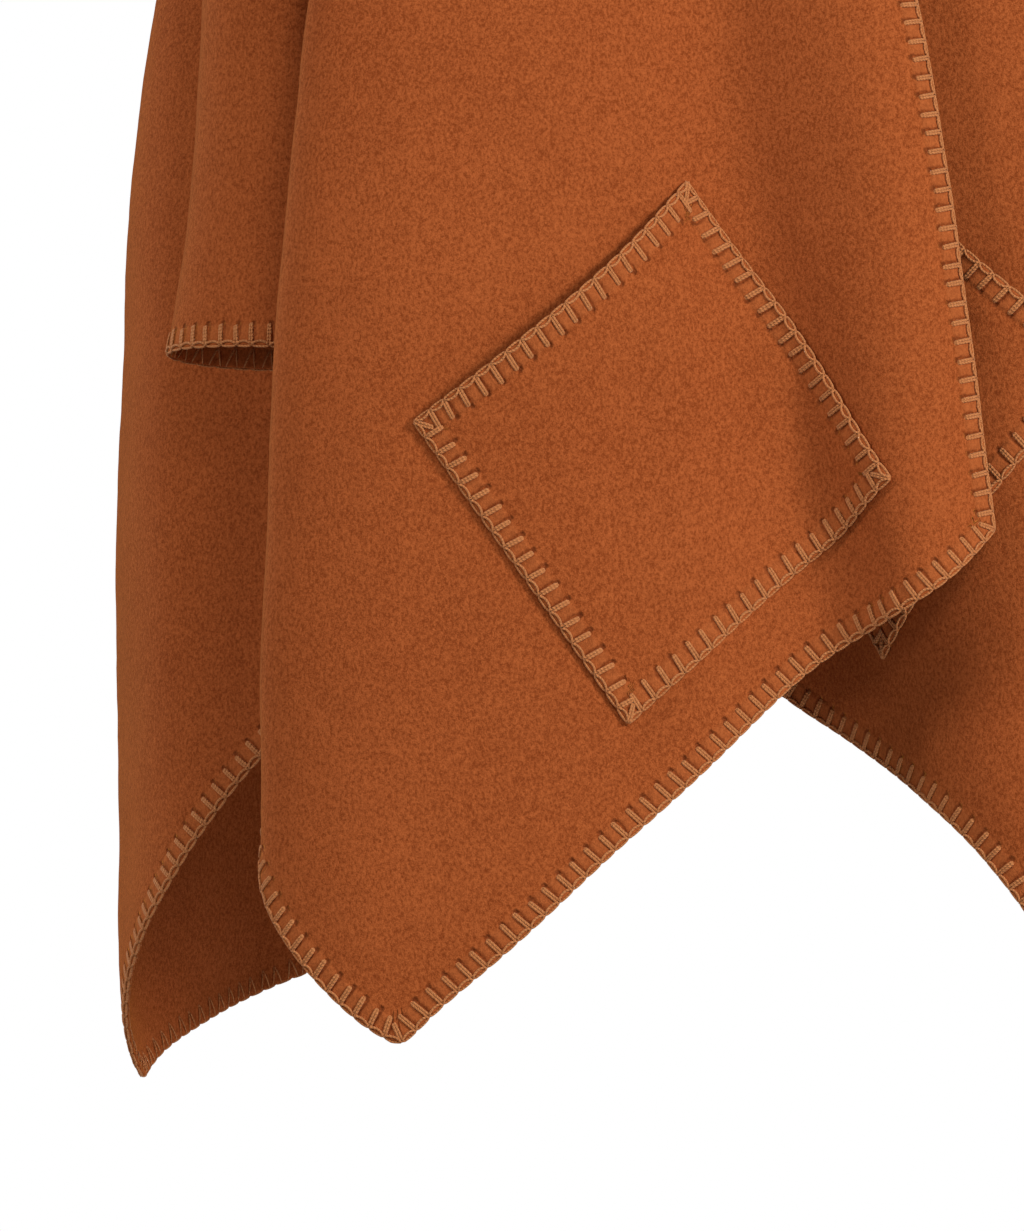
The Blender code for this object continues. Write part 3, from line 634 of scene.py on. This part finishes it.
class CutEdge:
    """A stitched edge: close points, their normals and every stitch's place."""

    def __init__(self, points, normals, corners=(), closed=False, seed=1):
        if closed:
            points = np.concatenate([points, points[:1]])
            normals = np.concatenate([normals, normals[:1]])
        lengths = lengths_along(points)
        self.closed = closed
        self.length = lengths[-1]
        self.s = np.linspace(0, self.length, max(8, round(self.length / EDGE_SAMPLE)))
        self.points = read_at(self.s, lengths, points)
        self.normals = unit(read_at(self.s, lengths, normals))
        self.tangents = self.eased_tangents()
        self.inward = unit(np.cross(self.normals, self.tangents))
        stops = [0.0] + [lengths[i] for i in corners] + [self.length]
        self.stitches = self.place_stitches(stops, np.random.default_rng(seed))

    def eased_tangents(self):
        """The way along the edge, eased over its corners so that stitches fan round them."""
        reach = max(1, round(CORNER_EASE / EDGE_SAMPLE))
        last = len(self.s) - 1
        ahead, behind = np.arange(last + 1) + reach, np.arange(last + 1) - reach
        if self.closed:
            return unit(self.points[ahead % last] - self.points[behind % last])
        return unit(self.points[np.minimum(ahead, last)] - self.points[np.maximum(behind, 0)])

    def face(self, inside):
        """Turn the inward directions towards a point well inside the cloth."""
        if np.sum(self.inward * (inside - self.points)) < 0:
            self.inward = -self.inward

    def place_stitches(self, stops, random):
        """Stitches between corners and one at each, a little uneven as by hand."""
        places = []
        for start, end in zip(stops[:-1], stops[1:]):
            if end - start < STITCH_PITCH / 2:
                continue
            count = max(1, round((end - start) / STITCH_PITCH))
            places += [start + (end - start) * i / count for i in range(count)]
        places = np.array(places)
        if not self.closed:
            places = places[1:]
        wander = random.uniform(-STITCH_UNEVEN, STITCH_UNEVEN, len(places))
        off = np.array([min(abs(place - stop) for stop in stops) for place in places])
        return places + np.where(off < STITCH_PITCH / 3, 0, wander)

    def turn_at(self, s):
        """Stitch count at a length along the edge: whole at each stitch."""
        before, after = self.stitches[0] - STITCH_PITCH, self.stitches[-1] + STITCH_PITCH
        if self.closed:
            before, after = self.stitches[-1] - self.length, self.stitches[0] + self.length
        places = np.concatenate([[before], self.stitches, [after]])
        return np.interp(s, places, np.arange(-1, len(self.stitches) + 1))

    def at(self, s):
        """Point, inward way, way along and normal at a length along the edge."""
        if self.closed:
            s = s % self.length
        ways = [unit(read_at(s, self.s, way)) for way in (self.inward, self.tangents, self.normals)]
        return read_at(s, self.s, self.points), *ways


def distances(points, lines):
    """Each point's distance to the nearest of close points, and that one's index."""
    tree = kdtree.KDTree(len(lines))
    for i, line_point in enumerate(lines):
        tree.insert(line_point, i)
    tree.balance()
    found = np.array([tree.find(p)[1:] for p in points.reshape(-1, 3)]).reshape(*points.shape[:-1], 2)
    return found[..., 1], found[..., 0].astype(int)


def dense(points, closed=False):
    """A line of points, spaced more closely than along an edge."""
    if closed:
        points = np.concatenate([points, points[:1]])
    lengths = lengths_along(points)
    s = np.linspace(0, lengths[-1], max(4, round(lengths[-1] / (EDGE_SAMPLE / 2))))
    return read_at(s, lengths, points)


def edge_profile(distance):
    """Share of the full thickness: rounded at the edge and pressed by the stitches."""
    rounding = np.sqrt(np.clip(1 - (1 - np.clip(distance / (WALL / 2), 0, 1)) ** 2, 0, 1))
    return (RIM_SHARE + (1 - RIM_SHARE) * rounding) * np.interp(distance, PRESS_PLACES, PRESS_SHARES)


def wall_faces(rows, columns, wrap):
    """Quads of a closed wall on a grid: its outer side, inner side and rims."""
    base = rows * columns
    spans = columns if wrap else columns - 1
    r, c = np.meshgrid(np.arange(rows - 1), np.arange(spans), indexing="ij")
    a, b = r * columns + c, r * columns + (c + 1) % columns
    d, e = a + columns, b + columns
    outer = np.stack([a, b, e, d], axis=-1).reshape(-1, 4)
    inner = np.stack([a, d, e, b], axis=-1).reshape(-1, 4) + base
    ahead = (np.arange(spans) + 1) % columns
    foot = (rows - 1) * columns
    borders = [(ahead, np.arange(spans), 1), (foot + ahead, foot + np.arange(spans), -1)]
    if not wrap:
        down = np.arange(rows - 1) * columns
        borders += [(down, down + columns, 1), (down + columns - 1, down + 2 * columns - 1, -1)]
    rims = [np.stack([one, two, two + base, one + base], axis=-1)[:, ::way] for one, two, way in borders]
    return outer, inner, np.concatenate(rims)


def make_mesh(name, points, faces, finish):
    mesh = bpy.data.meshes.new(name)
    mesh.from_pydata(points, [], faces)
    mesh.materials.append(finish)
    mesh.shade_smooth()
    piece = put(name, mesh)
    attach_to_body(piece, "root")
    return piece


def attach(piece, name, values):
    """A number at each vertex, for the finish to read."""
    layer = piece.data.attributes.new(name, "FLOAT", "POINT")
    layer.data.foreach_set("value", np.asarray(values, np.float32))


class Cloth:
    """One piece of felt: wall, stitched edges and surfaces for stitches."""

    def __init__(self, name, mid, edges, finish, wrap=False):
        self.name = name
        rows, columns, _ = mid.shape
        borders = [dense(mid[0], wrap), dense(mid[-1], wrap)]
        if not wrap:
            borders += [dense(mid[:, 0]), dense(mid[:, -1])]
        to_border, _ = distances(mid, np.concatenate(borders))
        half = WALL / 2 * edge_profile(to_border)[..., None]
        apart = grid_normals(mid, wrap) * half
        points = np.concatenate([(mid + apart).reshape(-1, 3), (mid - apart).reshape(-1, 3)])
        outer, inner, rims = wall_faces(rows, columns, wrap)
        faces = np.concatenate([outer, inner, rims]).tolist()
        self.piece = make_mesh(name + "_felt", points, faces, finish)
        self.outer_tree, self.inner_tree = (BVHTree.FromPolygons(points.tolist(), faces.tolist())
                                            for faces in (outer, inner))
        self.edges = edges
        for edge in edges:
            edge.face(mid[rows // 2].mean(axis=0) if wrap else mid[rows // 2, columns // 2])
        self.mark_edges(mid)

    def mark_edges(self, mid):
        """Each vertex's distance from a stitched edge, and its stitch count."""
        lines = np.concatenate([edge.points for edge in self.edges])
        turns = np.concatenate([edge.turn_at(edge.s) for edge in self.edges])
        distance, index = distances(mid, lines)
        distance = distance.ravel()
        attach(self.piece, "edge_distance", np.concatenate([distance, distance + WRONG_SIDE]))
        attach(self.piece, "stitch_turn", np.tile(turns[index].ravel(), 2))


class Yarn:
    """Strands of yarn gathered into one mesh."""

    def __init__(self):
        self.points, self.faces, self.around, self.along = [], [], [], []
        self.count = 0

    def strand(self, centres, sides, ups, half_width, half_height, corners=5):
        """A closed strand of oval section, thinner at both ends."""
        rings = len(centres)
        turns = (np.arange(corners) / corners) * 2 * math.pi - math.pi / 2
        ends = np.ones(rings)
        ends[0] = ends[-1] = STRAND_END
        wide = (ends * half_width)[:, None, None]
        high = (ends * half_height)[:, None, None]
        ring = (centres[:, None] + sides[:, None] * np.cos(turns)[None, :, None] * wide
                + ups[:, None] * np.sin(turns)[None, :, None] * high)
        base = self.count
        for r in range(rings - 1):
            for c in range(corners):
                a, b = base + r * corners + c, base + r * corners + (c + 1) % corners
                self.faces.append((a, a + corners, b + corners, b))
        self.faces.append(tuple(base + c for c in range(corners)))
        self.faces.append(tuple(base + (rings - 1) * corners + c for c in reversed(range(corners))))
        self.points.append(ring.reshape(-1, 3))
        self.around.append(np.tile(np.arange(corners) / corners, rings))
        self.along.append(np.repeat(lengths_along(centres), corners))
        self.count += rings * corners

    def make(self, name, finish):
        piece = make_mesh(name, np.concatenate(self.points), self.faces, finish)
        attach(piece, "yarn_around", np.concatenate(self.around))
        attach(piece, "yarn_along", np.concatenate(self.along))
        return piece


def laid(tree, guesses, heights):
    """Points at heights over a surface near some guesses, and its normals there."""
    found = np.array([tree.find_nearest(Vector(guess))[:2] for guess in guesses])
    return found[:, 0] + found[:, 1] * heights[:, None], found[:, 1]


def sew(cloth, with_reverse):
    """Blanket stitch round a piece's edges."""
    yarn = Yarn()
    for edge in cloth.edges:
        random = np.random.default_rng(len(edge.stitches))
        for place in edge.stitches:
            depth = STITCH_DEPTH + random.uniform(-DEPTH_UNEVEN, DEPTH_UNEVEN)
            lean = STITCH_LEAN + random.uniform(-LEAN_UNEVEN, LEAN_UNEVEN)
            stitch(yarn, cloth, edge, place, depth, lean)
            if with_reverse:
                reverse_stitch(yarn, cloth, edge, place, depth, lean)
        pairs = list(zip(edge.stitches[:-1], edge.stitches[1:]))
        if edge.closed:
            pairs.append((edge.stitches[-1], edge.stitches[0] + edge.length))
        else:
            pairs = [(0.0, edge.stitches[0])] + pairs + [(edge.stitches[-1], edge.length)]
        for start, end in pairs:
            purl(yarn, cloth, edge, start, end, random)
    return yarn


def stitch(yarn, cloth, edge, place, depth, lean):
    """Two strands side by side from the needle's hole out over the edge."""
    point, inward, along, normal = edge.at(place)
    stations = np.array([*STITCH_STATIONS, depth - STITCH_BEFORE_HOLE, depth])[:, None]
    guesses = point + inward * stations + along * lean * stations / depth + normal * PROBE
    centres, ups = laid(cloth.outer_tree, guesses, STITCH_HEIGHTS)
    centres[0] = point + inward * stations[0] + normal * (WALL * 0.35 + STITCH_HEIGHTS[0] / 3)
    ups[0] = unit(normal - inward)
    ways = unit(np.gradient(centres, axis=0))
    sides = unit(np.cross(ways, ups))
    ups = unit(np.cross(sides, ways))
    for hand in (-1, 1):
        apart = hand * STRAND_SPREAD * STITCH_SPREADS[:, None]
        yarn.strand(centres + sides * apart, sides, ups, YARN_HALF_WIDTH, YARN_HALF_HEIGHT)


def reverse_stitch(yarn, cloth, edge, place, depth, lean):
    """The thin pair of threads on the wrong side, spreading from the hole."""
    point, inward, along, normal = edge.at(place)
    stations = np.array([depth, *REVERSE_STATIONS])[:, None]
    for hand in (-1, 1):
        across = lean * stations / depth + hand * REVERSE_SPREAD * (1 - stations / depth)
        guesses = point + inward * stations + along * across - normal * PROBE
        centres, ups = laid(cloth.inner_tree, guesses, REVERSE_HEIGHTS)
        sides = unit(np.cross(unit(np.gradient(centres, axis=0)), ups))
        yarn.strand(centres, sides, ups, REVERSE_RADIUS, REVERSE_RADIUS, corners=4)


def purl(yarn, cloth, edge, start, end, random):
    """The strands from one stitch to the next: one round the rim, one on the face."""
    shares = np.linspace(0, 1, PURL_RINGS)
    bow = np.sin(math.pi * shares) ** 0.7
    swing = random.uniform(*PURL_SWING)
    frames = [edge.at(start + (end - start) * share) for share in shares]
    points, inward, normals = (np.array([f[k] for f in frames]) for k in (0, 1, 3))
    lift = WALL * PURL_RIM_LIFT * (1 - 0.5 * bow)
    rim = points - inward * (PURL_OUT * bow)[:, None] + normals * lift[:, None]
    guesses = points + inward * (0.0002 + PURL_IN * bow * swing)[:, None] + normals * PROBE
    face, _ = laid(cloth.outer_tree, guesses, PURL_HEIGHTS[0] + PURL_HEIGHTS[1] * (1 - bow))
    for centres in (rim, face):
        ways = unit(np.gradient(centres, axis=0))
        sides = unit(np.cross(ways, normals))
        yarn.strand(centres, sides, unit(np.cross(sides, ways)), PURL_RADIUS, PURL_RADIUS)


class Field:
    """A socket of a finish that Python's operators work on."""

    def __init__(self, finish, socket):
        self.finish, self.socket = finish, socket

    def maths(self, operation, *values):
        return self.finish.node("ShaderNodeMath", {"operation": operation}, *values)

    def __add__(self, other):
        return self.maths("ADD", self, other)

    def __sub__(self, other):
        return self.maths("SUBTRACT", self, other)

    def __rsub__(self, other):
        return self.maths("SUBTRACT", other, self)

    def __mul__(self, other):
        return self.maths("MULTIPLY", self, other)

    def __abs__(self):
        return self.function("ABSOLUTE")

    def function(self, operation):
        return self.maths(operation, self)

    def ramp(self, low, high):
        """0 below low, 1 above high and smooth between."""
        settings = {"interpolation_type": "SMOOTHSTEP"}
        return self.finish.node("ShaderNodeMapRange", settings, self, low, high, 0.0, 1.0)

    __radd__ = __add__


class Finish:
    """A material on Blender's principled shader."""

    def __init__(self, name, constants):
        self.material = bpy.data.materials.new(name)
        self.material.use_nodes = True
        self.tree = self.material.node_tree
        self.shader = self.tree.nodes["Principled BSDF"]
        for socket, value in constants.items():
            self.shader.inputs[socket].default_value = value

    def node(self, kind, settings, *values, output=0, **named):
        """A node: its settings, then the values or links of its sockets."""
        made = self.tree.nodes.new(kind)
        for key, value in settings.items():
            setattr(made, key, value)
        for key, value in list(enumerate(values)) + list(named.items()):
            if isinstance(value, Field):
                self.tree.links.new(value.socket, made.inputs[key])
            elif value is not None:
                made.inputs[key].default_value = value
        return Field(self, made.outputs[output])

    def attribute(self, name):
        return self.node("ShaderNodeAttribute", {"attribute_name": name}, output=2)

    def cloud(self, scale, detail=2.0, roughness=0.5, turned=(0.0, 0.0, 0.0), stretch=(1.0, 1.0, 1.0)):
        """Noise about zero."""
        place = self.node("ShaderNodeTexCoord", {}, output=3)
        place = self.node("ShaderNodeMapping", {}, place, (0.0, 0.0, 0.0), turned, stretch)
        values = {"Scale": scale, "Detail": detail, "Roughness": roughness}
        return self.node("ShaderNodeTexNoise", {}, place, **values) - 0.5

    def mixed(self, amount, first, second):
        unused = [None] * 5
        return self.node("ShaderNodeMix", {"data_type": "RGBA"}, amount, *unused, first, second, output=2)

    def finish(self, colour, height, distance):
        self.tree.links.new(colour.socket, self.shader.inputs["Base Color"])
        bump = self.node("ShaderNodeBump", {}, Distance=distance, Height=height)
        self.tree.links.new(bump.socket, self.shader.inputs["Normal"])
        return self.material


def felt_finish():
    """Felted wool: matt, with a fine grain, lighter between the stitches near the edge, with painted shade
    at their holes and beside them.
    """
    felt = Finish("felted_wool_cloth", {"Roughness": 0.95, "Specular IOR Level": 0.08, "Sheen Weight": 0.6,
                                        "Sheen Roughness": 0.3, "Sheen Tint": (1.0, 0.36, 0.05, 1.0)})
    drift = felt.cloud(6.0)
    blotch = felt.cloud(55.0)
    nap = felt.cloud(620.0, detail=3.0, roughness=0.65, turned=(0.25, 0.35, 0.0), stretch=(1.0, 1.0, 0.75))
    grain = felt.cloud(1500.0, roughness=0.6)
    tone = 0.5 + drift * 0.3 + blotch * 0.16 + nap * 2.0 + grain * 1.45
    colour = felt.mixed(tone.ramp(0.0, 1.0), *FELT_COLOURS)
    distance = felt.attribute("edge_distance")
    turn = felt.attribute("stitch_turn")
    off_stitch = abs((turn + 0.5).function("FRACT") - 0.5)
    in_band = 1 - distance.ramp(0.0095, 0.013)
    # A lighter tone in the band by the edge, between the stitches
    lighter_band = in_band * off_stitch.ramp(0.08, 0.32) * 0.36
    colour = felt.mixed(lighter_band, colour, EDGE_BAND_COLOUR)
    # Painted shade: the felt darkens in each needle hole and along both sides of every stitch, where the
    # yarn would shade it
    hole = (1 - off_stitch.ramp(0.03, 0.2)) * (1 - abs(distance - STITCH_DEPTH).ramp(0.0004, 0.002))
    shade_beside_stitch = (1 - off_stitch.ramp(0.14, 0.26)) * off_stitch.ramp(0.04, 0.12)
    shade_beside_stitch = shade_beside_stitch * (1 - distance.ramp(0.0095, 0.012))
    colour = felt.mixed(hole * 0.55 + shade_beside_stitch * 0.4, colour, STITCH_SHADE_COLOUR)
    puff = in_band * off_stitch.ramp(0.0, 0.35)
    height = blotch * 0.25 + nap * 0.55 + grain * 0.3 + puff * 0.9 - hole * 1.1
    return felt.finish(colour, height, 0.0009)


def yarn_finish():
    """Two-ply wool yarn, its twist showing as slanting ridges, with painted shade in their grooves."""
    yarn = Finish("stitching_yarn", {"Roughness": 0.88, "Specular IOR Level": 0.2, "Sheen Weight": 0.2,
                                     "Sheen Roughness": 0.5, "Sheen Tint": (1.0, 0.7, 0.45, 1.0)})
    along = yarn.attribute("yarn_along")
    around = yarn.attribute("yarn_around")
    twist = (along * (2 * math.pi / YARN_TWIST) + around * (2 * math.pi)).function("SINE")
    fibre = yarn.cloud(900.0)
    # Painted shade: the colour darkens in the twist's grooves and lightens on its ridges, in step with the
    # bump
    tone = 0.5 + twist * 0.1 + fibre * 0.8
    colour = yarn.mixed(tone.ramp(0.0, 1.0), *YARN_COLOURS)
    return yarn.finish(colour, twist * 0.5 + fibre * 0.5, 0.0003)


def make_cloak():
    """Every piece of felt with its stitching, in place of its solid."""
    form = CloakForm()
    felt, tan = felt_finish(), yarn_finish()
    valleys = form.knot_of["R side valley"], form.knot_of["L side valley"]
    pieces = [front(form, "right", form.knots[0], valleys[0], felt), back(form, valleys, felt),
              front(form, "left", valleys[1], form.knots[-1], felt)]
    pieces += [sleeve(side, felt) for side in ("right", "left")]
    pieces += [pocket(form, side, felt) for side in ("right", "left")]
    for cloth in pieces:
        yarn = sew(cloth, with_reverse=not cloth.name.startswith("pocket"))
        stitches = yarn.make(cloth.name + "_stitches", tan)
        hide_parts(cloth.name)


def settled(form, columns, front_side=None):
    """A panel's mid-surface with the felt's swells, and a front's soft folds."""
    mid = evened(panel_grid(form, columns))
    depth = swell(mid)
    if front_side:
        depth += soft_folds(mid, front_side)
    return mid + grid_normals(mid) * depth[..., None]


def front(form, side, start, end, felt):
    """A front panel, stitched along its neckline, front edge and hem."""
    columns = body_columns(form, start, end)
    mid = settled(form, columns, front_side=side)
    order, seed = (1, 3) if side == "right" else (-1, 4)
    letter = side[0].upper()
    neck = nearest(columns[::order], form.neck_end[letter])
    tip = nearest(columns[::order], form.knot_of[letter + " front tip"])
    line, facing = (np.concatenate([grid[0, neck::-1], grid[1:, 0], grid[-1, 1:]])
                    for grid in (mid[:, ::order], grid_normals(mid)[:, ::order]))
    foot = neck + len(mid) - 1
    edge = CutEdge(line, facing, corners=(neck, foot, foot + tip), seed=seed)
    return Cloth("front_" + side, mid, [edge], felt)


def back(form, valleys, felt):
    """The back panel, stitched along its hem and neckline."""
    columns = body_columns(form, *valleys)
    mid = settled(form, columns)
    normals = grid_normals(mid)
    tips = [nearest(columns, form.knot_of[name]) for name in ("R back corner", "L back corner")]
    start, end = (nearest(columns, form.neck_end[name]) for name in ("RB", "LB"))
    hem = CutEdge(mid[-1], normals[-1], corners=tips, seed=5)
    neckline_edge = CutEdge(mid[0, start:end + 1], normals[0, start:end + 1], seed=6)
    return Cloth("back", mid, [hem, neckline_edge], felt)


def sleeve(side, felt):
    """A sleeve, stitched round its hem."""
    mid = sleeve_grid(side)
    depth = swell(mid)[..., None]
    mid = mid + grid_normals(mid, wrap=True) * depth * np.linspace(0, 1, len(mid))[:, None, None] ** 0.5
    edge = CutEdge(mid[-1], grid_normals(mid, wrap=True)[-1], closed=True, seed=7)
    return Cloth("sleeve_" + side, mid, [edge], felt, wrap=True)


def pocket(form, side, felt):
    """A patch pocket, a little full, its opening edge lifting away."""
    ground, normals, a, b = pocket_grid(form, side)
    if side == "right":
        ground, normals, a, b = (grid[:, ::-1] for grid in (ground, normals, a, b))
    fullness = POCKET_FULLNESS * (1 - a ** 4) * (1 - b ** 4)
    gape = (POCKET_GAPE + OPENING_SLACK) * (1 - b * b) * ((1 - a) / 2) ** 4
    lift = WALL + POCKET_GAP + fullness + gape + swell(ground) + soft_folds(ground, side)
    mid = ground + normals * lift[..., None]
    line, facing = (np.concatenate([grid[0, :-1], grid[:-1, -1], grid[-1, :0:-1], grid[:0:-1, 0]])
                    for grid in (mid, grid_normals(mid)))
    run = len(mid) - 1
    seed = 8 if side == "right" else 9
    edge = CutEdge(line, facing, corners=(run, 2 * run, 3 * run), closed=True, seed=seed)
    return Cloth("pocket_" + side, mid, [edge], felt)


def set_studio():
    """Floor, surround, soft lights and the camera at the photograph's place."""
    bpy.ops.mesh.primitive_circle_add(vertices=96, radius=FLOOR_RADIUS, fill_type="NGON",
                                      location=(0, 0, FLOOR_Z))
    floor = bpy.context.object
    floor.name = "floor"
    pale = Finish("floor_pale", {"Base Color": FLOOR_COLOUR, "Roughness": 0.9})
    floor.data.materials.append(pale.material)
    world = bpy.data.worlds.new("surround")
    bpy.context.scene.world = world
    world.use_nodes = True
    light_up(world.node_tree)
    for name, (place, size, power) in LIGHTS.items():
        light = bpy.data.lights.new(name, "AREA")
        light.size = size
        light.energy = power
        put(name, light, place, (Vector(LIT_POINT) - Vector(place)).to_track_quat("-Z", "Y").to_euler())
    camera = bpy.data.cameras.new("camera")
    camera.sensor_width = SENSOR
    camera.lens = SENSOR * FRAME_DISTANCE / FRAME_HEIGHT
    bpy.context.scene.camera = put("camera", camera, CAMERA_PLACE, (math.pi / 2, 0.0, 0.0))
    bpy.context.scene.view_settings.view_transform = "Standard"


def light_up(tree):
    """A surround that is white in the picture and lights the cloak dimly."""
    background = tree.nodes["Background"]
    white = tree.nodes.new("ShaderNodeBackground")
    for node, strength in ((background, AMBIENT), (white, 1.0)):
        node.inputs["Color"].default_value = WHITE
        node.inputs["Strength"].default_value = strength
    seen = tree.nodes.new("ShaderNodeLightPath").outputs["Is Camera Ray"]
    either = tree.nodes.new("ShaderNodeMixShader")
    for k, source in enumerate((seen, background.outputs[0], white.outputs[0])):
        tree.links.new(source, either.inputs[k])
    tree.links.new(either.outputs[0], tree.nodes["World Output"].inputs["Surface"])


def put(name, data, place=(0, 0, 0), turned=(0, 0, 0)):
    """A new object in the scene."""
    made = bpy.data.objects.new(name, data)
    made.location = place
    made.rotation_euler = turned
    bpy.context.scene.collection.objects.link(made)
    return made


make_cloak()
set_studio()
